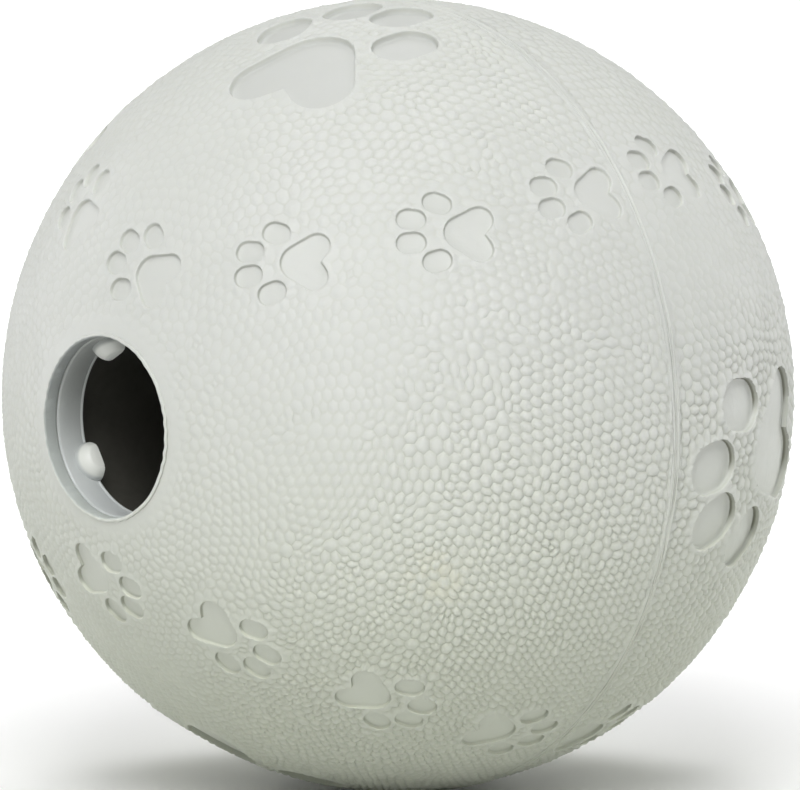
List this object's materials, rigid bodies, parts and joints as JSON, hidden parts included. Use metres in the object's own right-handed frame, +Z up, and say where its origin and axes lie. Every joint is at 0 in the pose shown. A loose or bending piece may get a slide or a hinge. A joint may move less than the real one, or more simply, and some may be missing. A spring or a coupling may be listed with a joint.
{
  "type": "treat dispensing ball",
  "caption": "Hollow rubber snack ball with pebbled skin, sunk paw prints and one round opening; treats loaded inside roll out through a labyrinth.",
  "frame": {"origin": "centre of the ball", "axes": "-Y out through the opening (front), +Z up, +X to the right seen from the front; the halves meet in the plane y = 0"},
  "size_m": [0.0904, 0.0891, 0.0904],
  "materials": {
    "grey_rubber": "matt pale grey natural rubber with a pebbled grain",
    "seam_cement": "cured rubber cement, smooth and matt",
    "collar_plastic": "smooth blue-grey plastic, soft gloss",
    "black_plastic": "matt black moulded plastic"
  },
  "bodies": {
    "root": {"shell_front": "grey_rubber", "shell_rear": "grey_rubber", "seam_bond": "seam_cement", "throat_collar": "collar_plastic", "labyrinth_right": "black_plastic", "labyrinth_left": "black_plastic"}
  },
  "joints": []
}
